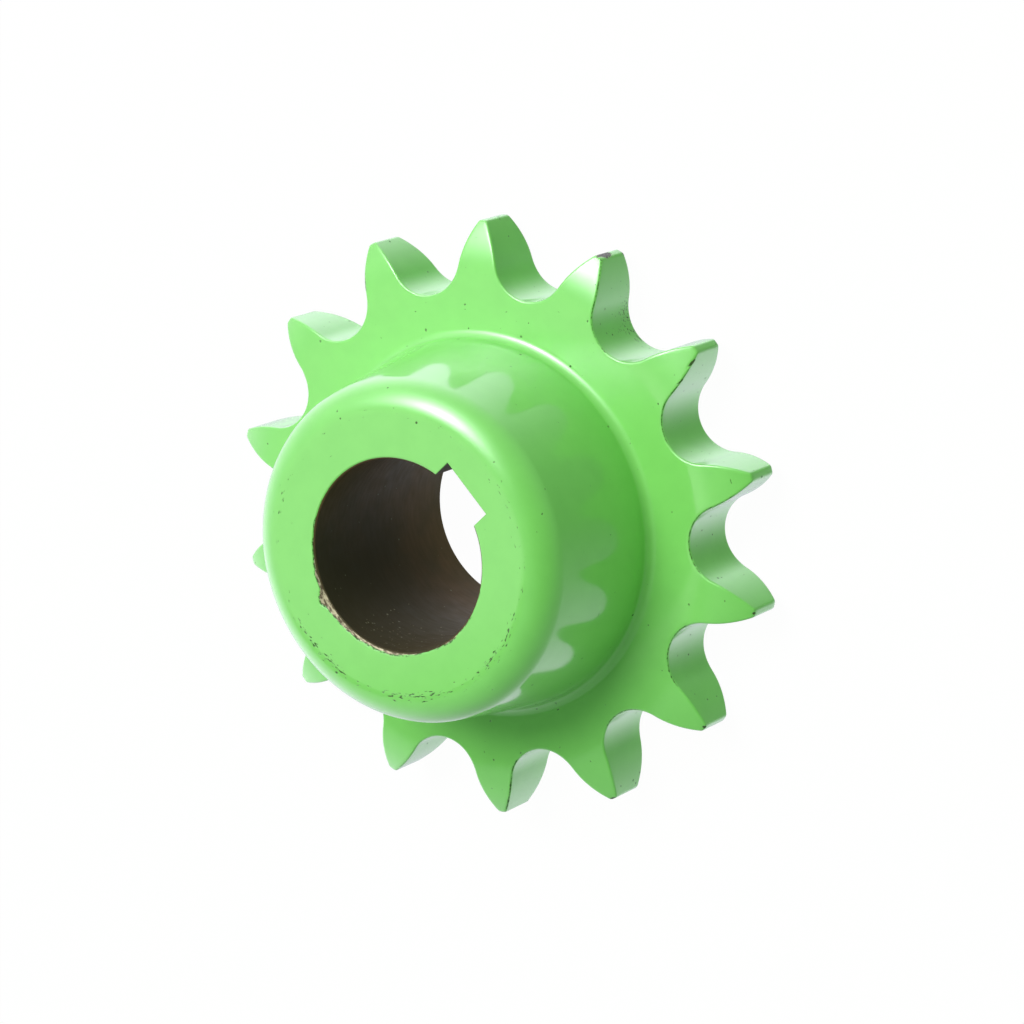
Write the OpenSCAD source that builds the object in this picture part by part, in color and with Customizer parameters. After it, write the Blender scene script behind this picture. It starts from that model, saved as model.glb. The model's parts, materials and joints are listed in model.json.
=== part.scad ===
// Roller-chain sprocket: a toothed plate with a drafted hub on its front face, a through bore and a keyway.
// The bore axis is Z, the back face of the plate lies at Z = 0 and the keyway points along +X.

/* [Chain and teeth] */
// Pitch of the roller chain, from roller to roller
chain_pitch = 25.4; // [24:0.1:28]
// Number of teeth
teeth = 14; // [13:1:18]
// Radius of the seat that each chain roller beds in
seat_radius = 8.3; // [8:0.1:9]
// Angle over which a roller beds in its seat, in degrees
seat_angle = 133; // [120:1:140]
// Radius of the rounded tooth flank above the seat
flank_radius = 25; // [18:0.5:40]
// Height of the tooth tips above the pitch circle
tip_height = 6.2; // [4:0.1:6.5]
// Angle from the keyway to the middle of the nearest tooth, in degrees
tooth_angle = -3; // [-12:0.1:12]

/* [Plate] */
// Thickness of the plate
plate_thickness = 15.5; // [12:0.1:18]
// How far each side of a tooth has curved back at its tip
relief_depth = 3.3; // [1:0.1:5]
// Radius of the curve on each side of a tooth
relief_radius = 26; // [16:0.5:40]

/* [Hub] */
// Height of the hub above the front face of the plate
hub_height = 33.7; // [20:0.1:50]
// Diameter of the hub where its wall meets the plate
hub_base_diameter = 78.8; // [72:0.1:82]
// Draft of the hub wall, in degrees
hub_draft = 7.2; // [0.5:0.1:9]
// Radius of the rounded rim of the hub
rim_radius = 6.8; // [2:0.1:8]
// Radius of the fillet between the hub and the plate
fillet_radius = 2.2; // [1:0.1:3]

/* [Bore and keyway] */
// Diameter of the bore
bore_diameter = 40; // [30:0.1:46]
// Width of the keyway
keyway_width = 13; // [8:0.1:16]
// Depth of the keyway beyond the wall of the bore
keyway_depth = 3.1; // [2:0.1:4]
// Chamfer of the bore at the face of the hub
front_chamfer = 0.4; // [0.2:0.1:1.5]
// Chamfer of the bore at the back of the plate
back_chamfer = 1.1; // [0.2:0.1:1.5]

/* [Hidden] */
$fn = 96;

// How far a cutting shape runs past the face that it cuts
overcut = 2;

tooth_pitch_angle = 360 / teeth;
pitch_radius = chain_pitch / (2 * sin(tooth_pitch_angle / 2));
tip_radius = pitch_radius + tip_height;
total_height = plate_thickness + hub_height;
bore_radius = bore_diameter / 2;

// The side curve starts where its arc leaves the flat face of the plate
relief_length = sqrt(2 * relief_radius * relief_depth - relief_depth * relief_depth);
relief_start = tip_radius - relief_length;

// Where the rim arc runs into the drafted wall of the hub
hub_base_radius = hub_base_diameter / 2;
rim_centre_z = total_height - rim_radius;
rim_end_z = rim_centre_z + rim_radius * sin(hub_draft);
rim_end_radius = hub_base_radius - (rim_end_z - plate_thickness) * tan(hub_draft);
rim_centre_radius = rim_end_radius - rim_radius * cos(hub_draft);

// Where the fillet arc leaves the wall of the hub and the face of the plate
fillet_reach = fillet_radius * tan((90 - hub_draft) / 2);
fillet_centre = [hub_base_radius + fillet_reach, plate_thickness + fillet_radius];
fillet_wall_end = fillet_centre - fillet_radius * [cos(hub_draft), sin(hub_draft)];

// Where the arc of a roller seat runs into the arc of a flank, seen in the middle line of a tooth gap
flank_direction = 180 - seat_angle / 2;
flank_start = [pitch_radius, 0] + seat_radius * [cos(flank_direction), sin(flank_direction)];
flank_centre = [pitch_radius, 0] + (seat_radius + flank_radius) * [cos(flank_direction), sin(flank_direction)];
// A chord of the flank arc that leaves the tooth beyond its tip
flank_chord_angle = 35;
flank_chord_length = 2 * flank_radius * sin(flank_chord_angle);
flank_chord_direction = flank_direction - 90 + flank_chord_angle;
flank_chord_end = flank_start + flank_chord_length * [cos(flank_chord_direction), sin(flank_chord_direction)];

function mirrored(point) = [point[0], -point[1]];

// Half section of the plate, with the sides of the tooth curved back towards the tip
module plate_section() {
    square([relief_start, plate_thickness]);
    intersection() {
        translate([relief_start, 0]) square([relief_length, plate_thickness]);
        translate([relief_start, plate_thickness - relief_radius]) circle(relief_radius);
        translate([relief_start, relief_radius]) circle(relief_radius);
    }
}

// Half section of the hub, with its draft and its rounded rim
module hub_section() {
    polygon([
        [0, 0],
        [hub_base_radius, 0],
        [hub_base_radius, plate_thickness],
        [rim_end_radius, rim_end_z],
        [rim_centre_radius, rim_centre_z],
        [rim_centre_radius, total_height],
        [0, total_height]
    ]);
    translate([rim_centre_radius, rim_centre_z]) circle(rim_radius);
}

// Half section of the fillet between the hub and the plate
module fillet_section() {
    difference() {
        polygon([
            [hub_base_radius, plate_thickness],
            [fillet_centre[0], plate_thickness],
            fillet_centre,
            fillet_wall_end
        ]);
        translate(fillet_centre) circle(fillet_radius);
    }
}

// Half section of the bore, with a chamfer at each end
module bore_section() {
    polygon([
        [0, -overcut],
        [bore_radius + back_chamfer + overcut, -overcut],
        [bore_radius, back_chamfer],
        [bore_radius, total_height - front_chamfer],
        [bore_radius + front_chamfer + overcut, total_height + overcut],
        [0, total_height + overcut]
    ]);
}

// The turned blank before the teeth and the keyway are cut
module blank() {
    rotate_extrude() difference() {
        union() {
            plate_section();
            hub_section();
            fillet_section();
        }
        bore_section();
    }
}

// One tooth gap: the seat of a roller and the mouth between the flanks of two teeth
module tooth_gap() {
    translate([0, 0, -overcut]) linear_extrude(plate_thickness + 2 * overcut) {
        translate([pitch_radius, 0]) circle(seat_radius);
        difference() {
            polygon([
                [pitch_radius, 0],
                flank_start,
                flank_chord_end,
                mirrored(flank_chord_end),
                mirrored(flank_start)
            ]);
            translate(flank_centre) circle(flank_radius);
            translate(mirrored(flank_centre)) circle(flank_radius);
        }
    }
}

// The keyway runs the whole length of the bore
module keyway() {
    translate([0, -keyway_width / 2, -overcut])
        cube([bore_radius + keyway_depth, keyway_width, total_height + 2 * overcut]);
}

module sprocket() {
    color([0.55, 0.90, 0.45]) difference() {
        blank();
        for (i = [0 : teeth - 1]) rotate(tooth_angle + (i + 0.5) * tooth_pitch_angle) tooth_gap();
        keyway();
    }
}

sprocket();
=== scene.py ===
"""A roller-chain sprocket in glossy green paint, worn at its edges, with a bare bore and keyway."""

import json
import math
from typing import NamedTuple

import bpy
import numpy as np
from mathutils import Matrix, Vector, noise


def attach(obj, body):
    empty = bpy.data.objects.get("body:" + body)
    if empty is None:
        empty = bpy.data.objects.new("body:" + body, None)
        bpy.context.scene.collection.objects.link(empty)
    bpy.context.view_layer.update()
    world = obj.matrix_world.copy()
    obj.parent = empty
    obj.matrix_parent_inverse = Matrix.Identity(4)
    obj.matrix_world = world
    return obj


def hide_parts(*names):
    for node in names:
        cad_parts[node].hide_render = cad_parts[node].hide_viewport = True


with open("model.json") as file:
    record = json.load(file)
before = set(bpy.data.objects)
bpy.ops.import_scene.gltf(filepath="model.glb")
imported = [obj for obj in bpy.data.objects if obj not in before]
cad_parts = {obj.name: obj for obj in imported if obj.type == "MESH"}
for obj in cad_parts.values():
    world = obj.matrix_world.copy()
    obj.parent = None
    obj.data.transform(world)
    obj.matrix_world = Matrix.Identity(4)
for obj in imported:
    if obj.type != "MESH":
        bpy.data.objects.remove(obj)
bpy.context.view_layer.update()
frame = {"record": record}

# Sizes of the solid, in millimetres and degrees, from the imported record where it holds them
MM = 0.001
mounts = {mount["name"]: mount for mount in frame["record"]["mounts"]}
seats = mounts["roller_seat"]["dims"]
TEETH = seats["count"]
PITCH_RADIUS = seats["pcd_mm"] / 2
SEAT_RADIUS = seats["r_mm"]
PLATE = seats["length_mm"]
BORE_RADIUS = mounts["bore"]["dims"]["r_mm"]
HEIGHT = mounts["hub_face"]["pos_m"][2] / MM
SEAT_HALF_ANGLE = 66.5
FLANK_RADIUS = 25
TIP_HEIGHT = 6.2
TOOTH_ANGLE = -3
RELIEF_DEPTH = 3.3
RELIEF_RADIUS = 26
HUB_BASE_RADIUS = 39.4
HUB_DRAFT = 7.2
RIM_RADIUS = 6.8
FILLET_RADIUS = 2.2
KEYWAY_HALF_WIDTH = 6.5
KEYWAY_DEPTH = 3.1
FRONT_CHAMFER = 0.4
BACK_CHAMFER = 1.1

# Softened edges that the solid leaves sharp
EDGE_ROUNDING = 0.45
TIP_ROUNDING = 0.5
FACE_ROUNDING = 0.12

# Steps of the mesh along half a tooth outline and along the section
SEAT_STEPS, FLANK_STEPS, TIP_STEPS, LAND_STEPS = 13, 15, 5, 3
RIM_STEPS, WALL_STEPS, FILLET_STEPS, FACE_STEPS = 12, 8, 11, 16
EDGE_STEPS, SIDE_STEPS, BACK_STEPS, BORE_STEPS = 4, 6, 11, 8
HUB_FACE_SHARES = (0.01, 0.04, 0.09, 0.16, 0.26, 0.4, 0.6, 0.8, 0.88, 0.94, 0.98)

# Derived sizes
TOOTH_PITCH = math.tau / TEETH
TIP_RADIUS = PITCH_RADIUS + TIP_HEIGHT
KEYWAY_FLOOR = BORE_RADIUS + KEYWAY_DEPTH
RELIEF_START = TIP_RADIUS - math.sqrt(2 * RELIEF_RADIUS * RELIEF_DEPTH - RELIEF_DEPTH**2)
DRAFT = math.radians(HUB_DRAFT)
RIM_CENTRE_Z = HEIGHT - RIM_RADIUS
RIM_END_Z = RIM_CENTRE_Z + RIM_RADIUS * math.sin(DRAFT)
RIM_END_RADIUS = HUB_BASE_RADIUS - (RIM_END_Z - PLATE) * math.tan(DRAFT)
RIM_CENTRE_RADIUS = RIM_END_RADIUS - RIM_RADIUS * math.cos(DRAFT)
FILLET_CENTRE_RADIUS = HUB_BASE_RADIUS + FILLET_RADIUS * math.tan(math.radians(90 - HUB_DRAFT) / 2)
FILLET_CENTRE_Z = PLATE + FILLET_RADIUS

# Bare band round the front edge of the bore, as angle in degrees and reach in millimetres
BORE_WEAR = (
    (20, -0.5), (95, -0.4), (115, -0.2), (135, 0.1), (150, 0.15), (162, 0.35), (166, 1.4), (170, 1.9),
    (175, 1.0), (182, 0.65), (205, 0.6), (222, 0.45), (236, 0.1), (246, -0.2), (254, 0.0), (268, 0.2),
    (286, 0.1), (298, -0.3), (340, -0.5),
)
# Dark stretches of the tooth edges: worn chips, and on the front edges also thin dark lines, as start and
# end angle in degrees and reach in millimetres
FRONT_EDGE_MARKS = (
    (9, 22.8, 0.02), (-5.3, -4.2, 0.3), (-6.1, -5.6, 0.35), (-6.9, -6.2, 0.45), (-7.7, -7.2, 0.5),
    (-18, -5, 0.03), (-49, -31, 0.03), (-55, -53.8, 0.1), (-76, -61, 0.03), (-80.5, -79.3, 0.25),
    (-97, -86, 0.03), (-107, -105, 0.12), (-131, -124, 0.06), (77, 79, 0.15),
)
BACK_WEAR = ((20.8, 22.8, 0.2), (10, 15.5, 0.1), (-4.6, -2.6, 0.1), (-30, -28.5, 0.1), (-48, -47, 0.3))
# The reach where an edge is unmarked, how ragged the marks are, and a distance past any reach
SOUND_EDGE = -0.24
EDGE_RAGGEDNESS = 1.5
FAR = 9.0

# Dark specks: the share of cells that have one, on each zone
ZONE_SPECKS = {"face": 0.012, "flank": 0.025, "fillet": 0.015, "back": 0.02}
SPARSE_SPECKS = 0.003
# The bare chip on the land of one tooth, and single marks, each as angle in degrees, radius and height,
# and the size round the part and along it
TIP_CHIP = (23.1, 63.4, 9.6, 1.5, 2.7)
MARKS = (
    (-36.6, 50.2, 8.5, 0.2, 0.2), (-41.7, 48.8, 5.7, 0.2, 0.2), (-67.5, 48.8, 7.1, 0.2, 0.2),
    (-72.3, 50.2, 6.9, 0.2, 0.2), (72.6, 30.0, 49.1, 0.2, 0.2), (36.3, 28.5, 49.2, 0.25, 0.25),
    (16.0, 41.1, 15.5, 0.25, 0.25), (51.5, 41.1, 15.5, 0.2, 0.2), (-163.0, 30.3, 49.1, 0.35, 0.35),
    (13.5, 49.5, 9.0, 0.2, 0.2),
)
# Flaked paint round the edge of the hub face, as angle in degrees and strength
HUB_FLAKES = (
    (0, 0.45), (20, 0.3), (60, 0.25), (110, 0.3), (116, 0.5), (122, 0.5), (130, 0.35), (168, 0.45),
    (174, 0.8), (198, 0.85), (204, 0.5), (215, 0.5), (222, 0.85), (248, 0.9), (256, 0.5), (266, 0.5),
    (270, 0.85), (290, 0.8), (300, 0.5), (330, 0.4), (350, 0.5),
)
HUB_FLAKE_RADIUS = 29.2
HUB_FLAKE_SPREAD = 1.1
# Flaked paint at the back of one roller seat, as angle in degrees and strength
SEAT_FLAKES = ((4, 0), (9, 0.55), (13, 0.8), (17, 0.75), (20, 0), (340, 0))
SEAT_FLAKE_SPREAD = 6

# The grittiest place in the bore, as angle in degrees and height
GRIT_ANGLE = 212
GRIT_HEIGHT = 40

# Unevenness of the forged hub, and how deep the worn edges are
WAVE_HEIGHT = 0.03
WAVE_LENGTH = 11
WEAR_DEPTH = 0.25

# Heights of the paint's dimples, of the paint above the metal, of the metal's grain and of the boring marks
SKIN_HEIGHT = 0.008
PAINT_DEPTH = 0.07
GRAIN_HEIGHT = 0.08
STREAK_HEIGHT = 0.004

# Edges of the mesh that turn by more than this stay sharp
SHARP_ANGLE = math.radians(35)

# Colours of the paint, of what shows where it is gone or darkened, and of the bore
WHITE = (1, 1, 1, 1)
PAINT_COLOURS = (0.206, 0.597, 0.127, 1), (0.218, 0.623, 0.135, 1)
METAL_COLOURS = (0.09, 0.065, 0.04, 1), (0.46, 0.39, 0.27, 1)
TIP_CHIP_COLOUR = (0.16, 0.145, 0.15, 1)
# Dark colours for dirt marks and for the painted shadow at the paint's edge round the bore, and how fully
# they cover the paint
DIRT_AND_SHADE_COLOURS = (0.015, 0.05, 0.008, 1), (0.055, 0.055, 0.026, 1)
DIRT_AND_SHADE_COVER = 0.88
STEEL_COLOURS = (0.098, 0.062, 0.032, 1), (0.138, 0.075, 0.039, 1)
STREAK_COLOUR = (0.08, 0.055, 0.03, 1)
STAIN_COLOUR = (0.053, 0.041, 0.022, 1)
GRIT_COLOUR = (0.2, 0.19, 0.13, 1)


class Ring(NamedTuple):
    """One ring of the mesh, with the distance of its points from the front and back edges of the teeth."""

    zone: str
    radii: np.ndarray
    angles: np.ndarray
    heights: np.ndarray
    from_front: np.ndarray
    from_back: np.ndarray


def half_outline():
    """Points and outward directions from the root of a tooth gap to the middle of the next tooth."""
    lean = math.pi - math.radians(SEAT_HALF_ANGLE)
    seat_centre = np.array([PITCH_RADIUS, 0.0])
    flank_centre = seat_centre + (SEAT_RADIUS + FLANK_RADIUS) * np.array([math.cos(lean), math.sin(lean)])

    def arc(centre, radius, start, end, steps):
        angles = np.linspace(start, end, steps + 1)
        directions = np.stack([np.cos(angles), np.sin(angles)], axis=1)
        return centre + radius * directions, directions

    # The flank ends where its arc meets the circle of the tips
    away = np.linalg.norm(flank_centre)
    turn = math.acos((TIP_RADIUS**2 - away**2 - FLANK_RADIUS**2) / (2 * away * FLANK_RADIUS))
    flank_end = math.atan2(flank_centre[1], flank_centre[0]) - turn + math.tau
    corner = flank_centre + FLANK_RADIUS * np.array([math.cos(flank_end), math.sin(flank_end)])
    land_start = math.atan2(corner[1], corner[0])

    seat, seat_out = arc(seat_centre, SEAT_RADIUS, math.pi, lean, SEAT_STEPS)
    trimmed = flank_end - TIP_ROUNDING / FLANK_RADIUS
    flank, flank_out = arc(flank_centre, FLANK_RADIUS, lean + math.pi, trimmed, FLANK_STEPS)
    land_from = land_start + TIP_ROUNDING / TIP_RADIUS
    land, land_out = arc(np.zeros(2), TIP_RADIUS, land_from, TOOTH_PITCH / 2, LAND_STEPS)
    share = np.linspace(0, 1, TIP_STEPS + 1)[:, None]
    tip = flank[-1] * (1 - share) ** 2 + 2 * corner * share * (1 - share) + land[0] * share**2
    along = (corner - flank[-1]) * (1 - share) + (land[0] - corner) * share
    tip_out = np.stack([along[:, 1], -along[:, 0]], axis=1)
    tip_out /= np.linalg.norm(tip_out, axis=1)[:, None]
    points = np.concatenate([seat[:-1], flank[:-1], tip[:-1], land])
    outward = np.concatenate([-seat_out[:-1], flank_out[:-1], tip_out[:-1], land_out])
    return points, outward


def whole_outline():
    """The toothed outline as complex numbers and outward directions, one entry per column of the mesh."""
    points, outward = (pair[:, 0] + 1j * pair[:, 1] for pair in half_outline())
    mirror = np.exp(1j * TOOTH_PITCH)
    points = np.concatenate([points[:-1], (mirror * points.conj())[:0:-1]])
    outward = np.concatenate([outward[:-1], (mirror * outward.conj())[:0:-1]])
    turns = np.exp(1j * (math.radians(TOOTH_ANGLE) + TOOTH_PITCH * (np.arange(TEETH) + 0.5)))
    return (turns[:, None] * points).ravel(), (turns[:, None] * outward).ravel()


def unwrapped(points):
    """Angles of complex points as one rising sequence."""
    return np.unwrap(np.angle(points))


def even_angles(start, columns):
    """Evenly spaced angles, with the columns nearest to the corners of the keyway moved onto them."""
    angles = start + math.tau * np.arange(columns) / columns
    floor_corner = math.atan2(KEYWAY_HALF_WIDTH, KEYWAY_FLOOR)
    mouth_corner = math.asin(KEYWAY_HALF_WIDTH / BORE_RADIUS)
    for corner in (floor_corner, mouth_corner, -floor_corner, -mouth_corner):
        off = (angles - corner + math.pi) % math.tau - math.pi
        nearest = np.argmin(abs(off))
        angles[nearest] -= off[nearest]
    return angles


def bore_edge(angles, radius, clearance=0.0):
    """Radius of the opening at each angle: the bore, or the keyway where that reaches further."""
    across = np.maximum(abs(np.sin(angles)), 1e-6)
    ahead = np.maximum(np.cos(angles), 1e-6)
    notch = np.minimum((KEYWAY_FLOOR + clearance) / ahead, (KEYWAY_HALF_WIDTH + clearance) / across)
    return np.maximum(radius, np.where(np.cos(angles) > 0, notch, 0))


def relief(radius):
    """How far the side of a tooth has curved back at a radius."""
    past = np.clip(radius - RELIEF_START, 0, RELIEF_RADIUS)
    return RELIEF_RADIUS - np.sqrt(RELIEF_RADIUS**2 - past**2)


def section_rings():
    """Rings of the mesh in order along the section, from the rim of the hub round to its face."""
    outline, outward = whole_outline()
    inset = outline - EDGE_ROUNDING * outward
    outline_radius, outline_angle = abs(outline), unwrapped(outline)
    inset_radius, inset_angle = abs(inset), unwrapped(inset)
    even = even_angles(outline_angle[0], len(outline))
    rings = []

    def ring(zone, radii, angles, heights, from_front=FAR, from_back=FAR):
        full = np.ones(len(outline))
        rings.append(Ring(zone, radii * full, angles, heights * full, from_front * full, from_back * full))

    for beta in np.linspace(math.pi / 2, DRAFT, RIM_STEPS + 1):
        radius = RIM_CENTRE_RADIUS + RIM_RADIUS * math.cos(beta)
        ring("rim", radius, even, RIM_CENTRE_Z + RIM_RADIUS * math.sin(beta))
    wall_foot_z = FILLET_CENTRE_Z - FILLET_RADIUS * math.sin(DRAFT)
    for height in np.linspace(RIM_END_Z, wall_foot_z, WALL_STEPS + 1)[1:-1]:
        ring("wall", HUB_BASE_RADIUS - (height - PLATE) * math.tan(DRAFT), even, height)
    for beta in np.linspace(math.pi + DRAFT, 1.5 * math.pi, FILLET_STEPS + 1):
        radius = FILLET_CENTRE_RADIUS + FILLET_RADIUS * math.cos(beta)
        ring("fillet", radius, even, FILLET_CENTRE_Z + FILLET_RADIUS * math.sin(beta))
    for share in np.linspace(0, 1, FACE_STEPS + 1)[1:]:
        radii = FILLET_CENTRE_RADIUS + (inset_radius - FILLET_CENTRE_RADIUS) * share
        angles = even + (inset_angle - even) * share
        to_edge = abs(radii * np.exp(1j * angles) - inset) + EDGE_ROUNDING / 2
        ring("face", radii, angles, PLATE - relief(radii), from_front=to_edge)

    # The rounded front edge, the flank and the rounded back edge
    front, back = PLATE - relief(outline_radius), relief(outline_radius)
    front_in, back_in = PLATE - relief(inset_radius), relief(inset_radius)
    for share in np.linspace(0, 1, EDGE_STEPS + 1)[1:]:
        rest = 1 - share
        blend = inset * rest**2 + outline * (1 - rest**2)
        height = front_in * rest**2 + 2 * front * share * rest + (front - EDGE_ROUNDING) * share**2
        to_edge = abs(share - 0.5) * EDGE_ROUNDING
        ring("front_edge", abs(blend), unwrapped(blend), height, from_front=to_edge)
    width = front - back - 2 * EDGE_ROUNDING
    for share in np.linspace(0, 1, SIDE_STEPS + 1)[1:]:
        height = front - EDGE_ROUNDING - width * share
        to_front, to_back = (width * part + EDGE_ROUNDING / 2 for part in (share, 1 - share))
        ring("flank", outline_radius, outline_angle, height, to_front, to_back)
    for share in np.linspace(0, 1, EDGE_STEPS + 1)[1:]:
        rest = 1 - share
        blend = outline * (1 - share**2) + inset * share**2
        height = (back + EDGE_ROUNDING) * rest**2 + 2 * back * share * rest + back_in * share**2
        to_edge = abs(share - 0.5) * EDGE_ROUNDING
        ring("back_edge", abs(blend), unwrapped(blend), height, from_back=to_edge)

    # The back face, the bore with its keyway, and the face of the hub
    back_mouth = bore_edge(even, BORE_RADIUS + BACK_CHAMFER)
    for share in np.linspace(0, 1, BACK_STEPS + 1)[1:]:
        radii = inset_radius + (back_mouth - inset_radius) * share
        angles = inset_angle + (even - inset_angle) * share
        to_edge = abs(radii * np.exp(1j * angles) - inset) + EDGE_ROUNDING / 2
        ring("back", radii, angles, relief(radii), from_back=to_edge)
    for height in np.linspace(BACK_CHAMFER, HEIGHT - FRONT_CHAMFER, BORE_STEPS + 1):
        ring("bore", bore_edge(even, BORE_RADIUS), even, height)
    front_mouth = BORE_RADIUS + FRONT_CHAMFER
    ring("mouth", bore_edge(even, front_mouth - FACE_ROUNDING), even, HEIGHT - FACE_ROUNDING)
    face_start = bore_edge(even, front_mouth + FACE_ROUNDING, FACE_ROUNDING)
    ring("hub_face", face_start, even, HEIGHT)
    for share in HUB_FACE_SHARES:
        ring("hub_face", face_start + (RIM_CENTRE_RADIUS - face_start) * share, even, HEIGHT)
    return rings


def round_the_part(angles, table):
    """A value read from a table of angles in degrees, all the way round."""
    places, values = zip(*table)
    return np.interp(np.degrees(angles), places, values, period=360)


def bare_reach(ring):
    """How far inside the bare band of the bore each point lies, or outside where negative."""
    if ring.zone not in ("bore", "mouth", "hub_face"):
        return np.full(len(ring.radii), -FAR)
    edge = bore_edge(ring.angles, BORE_RADIUS + FRONT_CHAMFER)
    return round_the_part(ring.angles, BORE_WEAR) - (ring.radii - edge)


def edge_reach(angles, stretches):
    """How far the dark marks of an edge reach at each angle."""
    reach = np.full(len(angles), SOUND_EDGE)
    ragged = np.array([noise.noise(Vector((TIP_RADIUS * angle, 0, 0))) for angle in angles])
    for start, end, depth in stretches:
        along = (np.degrees(angles) - start) % 360
        inside = np.clip(2 * np.minimum(along, end - start - along), 0, 1)
        worn = depth * (1 + EDGE_RAGGEDNESS * ragged)
        reach = np.maximum(reach, SOUND_EDGE + (worn - SOUND_EDGE) * inside)
    return reach


def edge_mark_reach(ring):
    """How far inside the dark marks on the edges of a tooth each point lies, or outside where negative."""
    front = edge_reach(ring.angles, FRONT_EDGE_MARKS) - ring.from_front
    back = edge_reach(ring.angles, BACK_WEAR) - ring.from_back
    return np.maximum(front, back)


def speck_share(ring):
    """Share of the paint's cells that carry a dark speck at each point."""
    return np.full(len(ring.radii), ZONE_SPECKS.get(ring.zone, SPARSE_SPECKS))


def flake_strength(ring):
    """How much of the paint has flaked off at each point."""
    if ring.zone == "flank":
        near = np.exp(-((ring.from_back / SEAT_FLAKE_SPREAD) ** 2))
        return round_the_part(ring.angles, SEAT_FLAKES) * near
    if ring.zone not in ("hub_face", "rim"):
        return np.zeros(len(ring.radii))
    near = np.exp(-(((ring.radii - HUB_FLAKE_RADIUS) / HUB_FLAKE_SPREAD) ** 2))
    return round_the_part(ring.angles, HUB_FLAKES) * near


def worked_points(ring, bare, edge_marks):
    """Points of a ring in millimetres, with the waves of the forging and the hollows of the wear."""
    radii, heights = ring.radii.copy(), ring.heights.copy()
    if ring.zone in ("rim", "wall", "fillet"):
        places = np.stack([radii * np.cos(ring.angles), radii * np.sin(ring.angles), heights], axis=1)
        waves = [noise.noise(Vector(place) / WAVE_LENGTH) for place in places]
        radii += WAVE_HEIGHT * np.array(waves) * np.clip((heights - PLATE) / FILLET_RADIUS, 0, 1)
    if ring.zone in ("mouth", "hub_face"):
        heights -= WEAR_DEPTH * np.clip(bare, 0, 1)
    if ring.zone in ("face", "front_edge"):
        heights -= WEAR_DEPTH * np.clip(2 * edge_marks, 0, 1)
    return np.stack([radii * np.cos(ring.angles), radii * np.sin(ring.angles), heights], axis=1)


def sprocket_mesh():
    """The closed mesh of the sprocket, with the wear of each point as attributes for the paint."""
    rings = section_rings()
    columns = len(rings[0].radii)
    wear = {
        "bare": [bare_reach(ring) for ring in rings],
        "edge_marks": [edge_mark_reach(ring) for ring in rings],
        "specks": [speck_share(ring) for ring in rings],
        "flakes": [flake_strength(ring) for ring in rings],
    }
    points = [worked_points(*each) for each in zip(rings, wear["bare"], wear["edge_marks"])]
    number = np.arange(len(rings) * columns).reshape(len(rings), columns)
    ahead, beside = np.roll(number, -1, axis=0), np.roll(number, -1, axis=1)
    faces = np.stack([number, ahead, np.roll(ahead, -1, axis=1), beside], axis=-1).reshape(-1, 4)
    mesh = bpy.data.meshes.new("painted_sprocket")
    mesh.from_pydata((np.concatenate(points) * MM).tolist(), [], faces.tolist())
    zones = [ring.zone for ring in rings]
    pairs = zip(zones, zones[1:] + zones[:1])
    steel = [zone == "bore" or (zone == "back" and follows == "bore") for zone, follows in pairs]
    mesh.polygons.foreach_set("material_index", np.repeat(steel, columns).astype(np.int32))
    mesh.polygons.foreach_set("use_smooth", np.ones(len(faces), dtype=bool))
    mesh.set_sharp_from_angle(angle=SHARP_ANGLE)
    for name, values in wear.items():
        mesh.attributes.new(name, "FLOAT", "POINT").data.foreach_set("value", np.concatenate(values))
    mesh.update()
    return mesh


class Graph:
    """Short ways to add nodes to a tree. A value is a number, a tuple or the socket of another node."""

    def __init__(self, tree):
        self.tree = tree

    def add(self, kind, inputs, **settings):
        node = self.tree.nodes.new("ShaderNode" + kind)
        for name, value in settings.items():
            setattr(node, name, value)
        for name, value in inputs.items():
            self.feed(node.inputs[name], value)
        return node

    def feed(self, socket, value):
        if isinstance(value, bpy.types.NodeSocket):
            self.tree.links.new(value, socket)
        else:
            socket.default_value = value

    def maths(self, operation, *values):
        return self.add("Math", dict(enumerate(values)), operation=operation).outputs[0]

    def vector(self, operation, *values):
        return self.add("VectorMath", dict(enumerate(values)), operation=operation).outputs

    def ramp(self, value, low, high, start=0.0, end=1.0):
        """A smooth step from start to end as the value goes from low to high."""
        inputs = {"Value": value, "From Min": low, "From Max": high, "To Min": start, "To Max": end}
        return self.add("MapRange", inputs, interpolation_type="SMOOTHSTEP").outputs[0]

    def blend(self, factor, first, second):
        """A mix of two colours."""
        return self.add("Mix", {0: factor, 6: first, 7: second}, data_type="RGBA").outputs[2]

    def noise(self, place, scale, detail=2.0):
        """Noise about zero, with scale in features per millimetre."""
        inputs = {"Vector": place, "Scale": scale, "Detail": detail}
        return self.maths("SUBTRACT", self.add("TexNoise", inputs).outputs["Fac"], 0.5)

    def millimetres(self):
        """The place on the part in millimetres."""
        place = self.add("TexCoord", {}).outputs["Object"]
        scaled = self.add("VectorMath", {"Vector": place, "Scale": 1 / MM}, operation="SCALE")
        return scaled.outputs["Vector"]

    def round_axis(self, place, stretch):
        """The place as radius, arc and height, the arc shortened to draw a texture out along it."""
        x, y, z = self.add("SeparateXYZ", {0: place}).outputs
        square = self.maths("ADD", self.maths("MULTIPLY", x, x), self.maths("MULTIPLY", y, y))
        radius = self.maths("SQRT", square)
        arc = self.maths("MULTIPLY", self.maths("ARCTAN2", y, x), RIM_CENTRE_RADIUS / stretch)
        return self.add("CombineXYZ", {0: radius, 1: arc, 2: z}).outputs[0]

    def attribute(self, name):
        return self.add("Attribute", {}, attribute_name=name).outputs["Fac"]

    def bump(self, height):
        """A normal from a height in millimetres."""
        return self.add("Bump", {"Height": height, "Distance": MM, "Strength": 1.0}).outputs["Normal"]


def principled(name):
    """A new material with its graph and its Principled node."""
    material = bpy.data.materials.new(name)
    material.use_nodes = True
    return material, Graph(material.node_tree), material.node_tree.nodes["Principled BSDF"]


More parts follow.
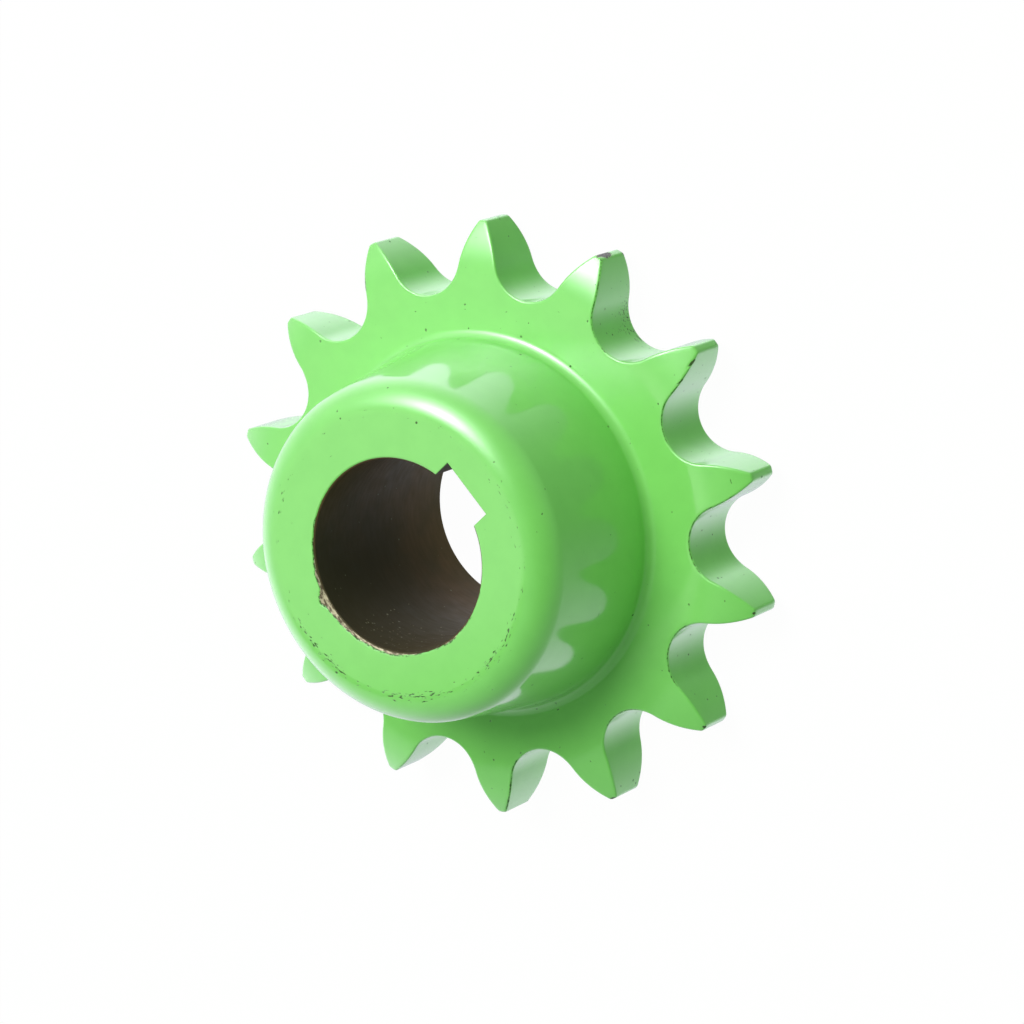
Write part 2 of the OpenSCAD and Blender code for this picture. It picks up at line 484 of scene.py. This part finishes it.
def speckle(graph, place, share):
    """Dark specks of many sizes in the given share of the cells."""
    wander = graph.add("TexNoise", {"Vector": place, "Scale": 2.5, "Detail": 2.0}).outputs["Color"]
    shifted = graph.add("VectorMath", {0: wander, 1: (0.5, 0.5, 0.5), 2: place}, operation="MULTIPLY_ADD")
    cells = graph.add("TexVoronoi", {"Vector": shifted.outputs[0], "Scale": 1.5})
    chance, size, depth = graph.add("SeparateColor", {0: cells.outputs["Color"]}).outputs
    present = graph.maths("LESS_THAN", chance, share)
    radius = graph.maths("MULTIPLY_ADD", size, 0.3, 0.12)
    inside = graph.maths("SUBTRACT", radius, cells.outputs["Distance"])
    strength = graph.maths("MULTIPLY_ADD", depth, 0.6, 0.4)
    dot = graph.maths("MULTIPLY", graph.ramp(inside, -0.04, 0.08), strength)
    return graph.maths("MULTIPLY", present, dot)


def marked(graph, place, ragged, marks):
    """How much each place lies inside one of the marks, which are ragged spots."""
    nearest = -1.0
    for angle, radius, height, across, along in marks:
        turn = math.radians(angle)
        centre = (radius * math.cos(turn), radius * math.sin(turn), height)
        offset = graph.vector("SUBTRACT", place, centre)[0]
        scaled = graph.vector("DIVIDE", offset, (across, across, along))[0]
        inside = graph.maths("SUBTRACT", 1.0, graph.vector("LENGTH", scaled)["Value"])
        nearest = graph.maths("MAXIMUM", nearest, inside)
    return graph.ramp(graph.maths("ADD", nearest, ragged), -0.05, 0.25)


def green_paint():
    """Glossy enamel that has chipped to bare or rusty metal along its edges, with dark marks and specks,
    and painted shadow along the paint's edge round the bore.
    """
    material, graph, shader = principled("green_paint")
    place = graph.millimetres()
    arcs = graph.round_axis(place, 4.0)
    fine = graph.noise(place, 1.7, 3.0)
    coarse = graph.noise(place, 0.2, 5.0)

    # Where the paint is gone or darkened: the band at the bore, worn chips and thin dark lines along the
    # edges of the teeth, flakes, single marks and specks, and a painted shadow of the paint's step round
    # the band
    band = graph.maths("MULTIPLY_ADD", graph.noise(arcs, 0.9, 4.0), 1.4, graph.attribute("bare"))
    tip_chip = marked(graph, place, fine, (TIP_CHIP,))
    bare = graph.maths("MAXIMUM", graph.ramp(band, 0.05, 0.2), tip_chip)
    # The outline is painted shadow: a dark line on the paint just outside the bare band, standing for the
    # shadow of the paint's step
    outline = graph.maths("SUBTRACT", graph.ramp(band, -0.25, 0.0), graph.ramp(band, 0.1, 0.3))
    outline = graph.maths("MULTIPLY", outline, graph.ramp(fine, -0.15, 0.1))
    edge_marks = graph.ramp(graph.maths("MULTIPLY_ADD", fine, 0.3, graph.attribute("edge_marks")), -0.06, 0.06)
    flaking = graph.maths("MULTIPLY_ADD", graph.noise(arcs, 2.6, 4.0), 4.0, graph.attribute("flakes"))
    flakes = graph.ramp(flaking, 0.95, 1.15)
    marks = marked(graph, place, fine, MARKS)
    specks = speckle(graph, place, graph.attribute("specks"))
    dark = marks
    for dark_mark in (edge_marks, flakes, specks, outline):
        dark = graph.maths("MAXIMUM", dark, dark_mark)
    dark = graph.maths("MULTIPLY", dark, DIRT_AND_SHADE_COVER)
    gone = graph.maths("MAXIMUM", bare, dark)

    paint = graph.blend(graph.ramp(coarse, -0.25, 0.25), *PAINT_COLOURS)
    grain = graph.noise(arcs, 2.4, 3.0)
    metal = graph.blend(graph.ramp(grain, -0.12, 0.12), *METAL_COLOURS)
    metal = graph.blend(tip_chip, metal, TIP_CHIP_COLOUR)
    dirt_and_shade = graph.blend(graph.ramp(grain, -0.1, 0.2), *DIRT_AND_SHADE_COLOURS)
    colour = graph.blend(dark, graph.blend(bare, paint, metal), dirt_and_shade)
    graph.feed(shader.inputs["Base Color"], colour)
    graph.feed(shader.inputs["Metallic"], graph.maths("MULTIPLY", bare, 0.3))
    graph.feed(shader.inputs["Roughness"], graph.maths("MULTIPLY_ADD", gone, 0.1, 0.5))
    shader.inputs["Specular IOR Level"].default_value = 0.25
    graph.feed(shader.inputs["Coat Weight"], graph.maths("SUBTRACT", 1.0, gone))
    shader.inputs["Coat Roughness"].default_value = 0.11
    shader.inputs["Coat IOR"].default_value = 1.6

    # The skin of the paint is faintly dimpled, and lies above the metal
    skin = graph.maths("MULTIPLY", graph.noise(place, 0.7, 1.0), SKIN_HEIGHT)
    lower = graph.maths("MULTIPLY_ADD", gone, -PAINT_DEPTH, skin)
    height = graph.maths("MULTIPLY_ADD", graph.maths("MULTIPLY", grain, gone), GRAIN_HEIGHT, lower)
    normal = graph.bump(height)
    graph.feed(shader.inputs["Normal"], normal)
    graph.feed(shader.inputs["Coat Normal"], normal)
    return material


def bored_steel():
    """Dark oily steel with the marks of boring round it and a little grit."""
    material, graph, shader = principled("bored_steel")
    place = graph.millimetres()
    along = graph.vector("MULTIPLY", place, (0.3, 0.3, 1.2))[0]
    streaks = graph.noise(along, 1.0, 2.0)
    patches = graph.noise(place, 0.09, 3.0)
    turn = math.radians(GRIT_ANGLE)
    gritty = (BORE_RADIUS * math.cos(turn), BORE_RADIUS * math.sin(turn), GRIT_HEIGHT)
    near = graph.vector("DISTANCE", place, gritty)["Value"]
    grit = speckle(graph, place, graph.ramp(near, 4.0, 14.0, 0.3, 0.015))
    steel = graph.blend(graph.ramp(patches, -0.15, 0.15), *STEEL_COLOURS)
    steel = graph.blend(graph.ramp(streaks, -0.4, 0.4, 0.0, 0.4), steel, STREAK_COLOUR)
    stained = graph.blend(graph.ramp(near, 12.0, 38.0), STAIN_COLOUR, steel)
    graph.feed(shader.inputs["Base Color"], graph.blend(grit, stained, GRIT_COLOUR))
    graph.feed(shader.inputs["Roughness"], graph.maths("MULTIPLY_ADD", streaks, 0.3, 0.55))
    shader.inputs["Specular IOR Level"].default_value = 0.1
    graph.feed(shader.inputs["Normal"], graph.bump(graph.maths("MULTIPLY", streaks, STREAK_HEIGHT)))
    return material


def add_sprocket():
    """The dressed sprocket, in place of the plain solid."""
    mesh = sprocket_mesh()
    mesh.materials.append(green_paint())
    mesh.materials.append(bored_steel())
    piece = bpy.data.objects.new("painted_sprocket", mesh)
    bpy.context.collection.objects.link(piece)
    weighted = piece.modifiers.new("even_normals", "WEIGHTED_NORMAL")
    weighted.keep_sharp = True
    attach(piece, "root")
    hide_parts("sprocket")


# Camera: the view of the photograph, as angles round the sprocket
VIEW_AZIMUTH = math.radians(70.408)
VIEW_ELEVATION = math.radians(56.289)
VIEW_ROLL = math.radians(-110.401)
VIEW_DISTANCE = 884.42
VIEW_AIM = Vector((12.888, -4.344, 24.6))
LENS = 151.89


def view_axes():
    """Right, up and backward directions of the photograph's view."""
    level, rise = math.cos(VIEW_ELEVATION), math.sin(VIEW_ELEVATION)
    back = Vector((math.sin(VIEW_AZIMUTH) * level, -math.cos(VIEW_AZIMUTH) * level, rise))
    flat_right = Vector((math.cos(VIEW_AZIMUTH), math.sin(VIEW_AZIMUTH), 0))
    flat_up = back.cross(flat_right)
    right = flat_right * math.cos(VIEW_ROLL) + flat_up * math.sin(VIEW_ROLL)
    return right, back.cross(right), back


def studio_direction(shares):
    """A direction of the studio from its shares along the right, up and backward directions."""
    return sum((axis * share for axis, share in zip(view_axes(), shares)), Vector()).normalized()


def add_camera():
    """The camera of the photograph's view."""
    right, up, back = view_axes()
    data = bpy.data.cameras.new("camera")
    data.lens = LENS
    camera = bpy.data.objects.new("camera", data)
    turn = Matrix((right, up, back)).transposed().to_4x4()
    camera.matrix_world = Matrix.Translation((VIEW_AIM + VIEW_DISTANCE * back) * MM) @ turn
    bpy.context.collection.objects.link(camera)
    bpy.context.scene.camera = camera


# What the gloss mirrors of the studio: soft lobes by direction, sharpness and strength
STUDIO_LEVEL = 0.55
STUDIO_DARKEST = 0.1
STUDIO_LOBES = (
    # The pale wall, and the softbox with its bright middle
    ((-0.68, 0.7, -0.1), 1.4, 0.8),
    ((-0.58, 0.52, 0.63), 14, 7.0),
    ((-0.66, 0.36, 0.66), 35, 12.0),
    # The dark room beside the camera and to the right of the part
    ((0.25, -0.3, 0.92), 4, -0.5),
    ((0.9, 0.1, 0.42), 4, -0.25),
    ((0.72, 0.58, -0.40), 10, -0.35),
    ((0.98, 0.12, -0.17), 16, -0.2),
    # Pale places behind the part: low on the right, low on the left and above
    ((0.60, -0.28, -0.75), 10, 1.0),
    ((-0.68, -0.46, -0.57), 5, 1.7),
    ((-0.1, 0.85, -0.5), 6, 1.8),
)
STUDIO_COLOUR = (0.96, 0.97, 1.08, 1)

# The fill light on the paint, from above the floor and from below it
AMBIENT = 0.4
AMBIENT_COLOUR = (0.56, 1, 0.48, 1)
UNDER_LIGHT = 0.82
UNDER_COLOUR = (0.8, 1, 0.74, 1)


def add_world():
    """White to the camera, a fill light for the paint and the studio for the gloss."""
    world = bpy.data.worlds.new("studio")
    bpy.context.scene.world = world
    world.use_nodes = True
    graph = Graph(world.node_tree)
    towards = graph.vector("NORMALIZE", graph.add("TexCoord", {}).outputs["Generated"])[0]
    level = STUDIO_LEVEL
    for direction, sharpness, strength in STUDIO_LOBES:
        facing = graph.vector("DOT_PRODUCT", towards, studio_direction(direction))["Value"]
        lobe = graph.maths("POWER", graph.maths("MAXIMUM", facing, 0.0), sharpness)
        level = graph.maths("MULTIPLY_ADD", lobe, strength, level)
    level = graph.maths("MAXIMUM", level, STUDIO_DARKEST)
    # The fill light is greener above the floor than under it
    under = graph.ramp(graph.add("SeparateXYZ", {0: towards}).outputs["Z"], -0.2, 0.0, 1.0, 0.0)
    ambient = graph.ramp(under, 0.0, 1.0, AMBIENT, UNDER_LIGHT)
    path = graph.add("LightPath", {}).outputs
    mirrored = graph.maths("SUBTRACT", level, ambient)
    lit = graph.maths("MULTIPLY_ADD", mirrored, path["Is Glossy Ray"], ambient)
    seen = graph.maths("MAXIMUM", path["Is Camera Ray"], path["Is Transmission Ray"])
    strength = graph.maths("MULTIPLY_ADD", graph.maths("SUBTRACT", 1.0, lit), seen, lit)
    background = world.node_tree.nodes["Background"]
    fill = graph.blend(under, AMBIENT_COLOUR, UNDER_COLOUR)
    colour = graph.blend(path["Is Glossy Ray"], fill, STUDIO_COLOUR)
    graph.feed(background.inputs["Color"], graph.blend(seen, colour, WHITE))
    graph.feed(background.inputs["Strength"], strength)


def add_square(name, half):
    """A square in its own plane, with an empty material, that stays out of the part."""
    mesh = bpy.data.meshes.new(name)
    corners = [(-half, -half, 0), (half, -half, 0), (half, half, 0), (-half, half, 0)]
    mesh.from_pydata(corners, [], [(0, 1, 2, 3)])
    square = bpy.data.objects.new(name, mesh)
    bpy.context.collection.objects.link(square)
    material = bpy.data.materials.new(name)
    material.use_nodes = True
    material.node_tree.nodes.clear()
    mesh.materials.append(material)
    return square, material, Graph(material.node_tree)


# The floor: half its width, its colour, and the share of white that it glows with to the camera
FLOOR_HALF = 3.0
FLOOR_COLOUR = (0.9, 0.9, 0.9, 1)
FLOOR_GLOW = 0.98


def add_floor():
    """A white floor that keeps a faint shadow, throws no light on the part and is clear from below."""
    floor, _, graph = add_square("floor", FLOOR_HALF)
    floor.visible_glossy = False
    floor.visible_diffuse = False
    floor.visible_shadow = False
    path = graph.add("LightPath", {}).outputs
    seen = graph.maths("MAXIMUM", path["Is Camera Ray"], path["Is Transmission Ray"])
    diffuse = graph.add("BsdfDiffuse", {"Color": FLOOR_COLOUR}).outputs[0]
    glow = graph.add("Emission", {"Color": WHITE}).outputs[0]
    share = graph.maths("MULTIPLY", seen, FLOOR_GLOW)
    lit = graph.add("MixShader", {0: share, 1: diffuse, 2: glow}).outputs[0]
    below = graph.add("NewGeometry", {}).outputs["Backfacing"]
    clear = graph.add("BsdfTransparent", {}).outputs[0]
    surface = graph.add("MixShader", {0: below, 1: lit, 2: clear}).outputs[0]
    graph.add("OutputMaterial", {"Surface": surface})


# A card beside the part that its flat faces mirror: bright above, dark below
CARD_DIRECTION = (-0.865, -0.335, 0.375)
CARD_DISTANCE = 0.4
CARD_HALF = 0.25
CARD_CORE = 0.1
CARD_DARK, CARD_BRIGHT = 0.25, 1.6
CARD_EDGE = (-0.05, -0.01)
CARD_FOOT = (-0.14, -0.085)


def add_card():
    """The card, which only the gloss sees."""
    card, material, graph = add_square("card", CARD_HALF)
    towards = studio_direction(CARD_DIRECTION)
    across = view_axes()[1].cross(towards).normalized()
    turn = Matrix((across, towards.cross(across), towards)).transposed().to_4x4()
    card.matrix_world = Matrix.Translation(towards * CARD_DISTANCE + Vector((0, 0, HEIGHT * MM / 2))) @ turn
    card.visible_camera = False
    card.visible_diffuse = False
    card.visible_transmission = False
    card.visible_shadow = False
    material.cycles.emission_sampling = "NONE"
    place = graph.add("TexCoord", {}).outputs["Object"]
    height = graph.add("SeparateXYZ", {0: place}).outputs["Y"]
    level = graph.ramp(height, *CARD_EDGE, CARD_DARK, CARD_BRIGHT)
    round_edge = graph.ramp(graph.vector("LENGTH", place)["Value"], CARD_CORE, CARD_HALF, 1.0, 0.0)
    inside = graph.maths("MULTIPLY", round_edge, graph.ramp(height, *CARD_FOOT))
    glow = graph.add("Emission", {"Color": WHITE, "Strength": level}).outputs[0]
    clear = graph.add("BsdfTransparent", {}).outputs[0]
    surface = graph.add("MixShader", {0: inside, 1: clear, 2: glow}).outputs[0]
    graph.add("OutputMaterial", {"Surface": surface})


# The softbox: its direction from the part, its distance, size and power
KEY_AZIMUTH = math.radians(66)
KEY_ELEVATION = math.radians(60)
KEY_DISTANCE = 2.0
KEY_SIZE = 1.1
KEY_POWER = 36.3


def add_key():
    """The softbox as a lamp; the studio round the part gives its reflection."""
    level = math.cos(KEY_ELEVATION)
    x, y = math.cos(KEY_AZIMUTH) * level, math.sin(KEY_AZIMUTH) * level
    towards = Vector((x, y, math.sin(KEY_ELEVATION)))
    data = bpy.data.lights.new("softbox", "AREA")
    data.shape = "DISK"
    data.size = KEY_SIZE
    data.energy = KEY_POWER
    lamp = bpy.data.objects.new("softbox", data)
    lamp.location = towards * KEY_DISTANCE
    lamp.rotation_mode = "QUATERNION"
    lamp.rotation_quaternion = towards.to_track_quat("Z", "Y")
    lamp.visible_camera = False
    lamp.visible_glossy = False
    bpy.context.collection.objects.link(lamp)


add_sprocket()
add_camera()
add_world()
add_floor()
add_card()
add_key()
bpy.context.scene.view_settings.view_transform = "Standard"
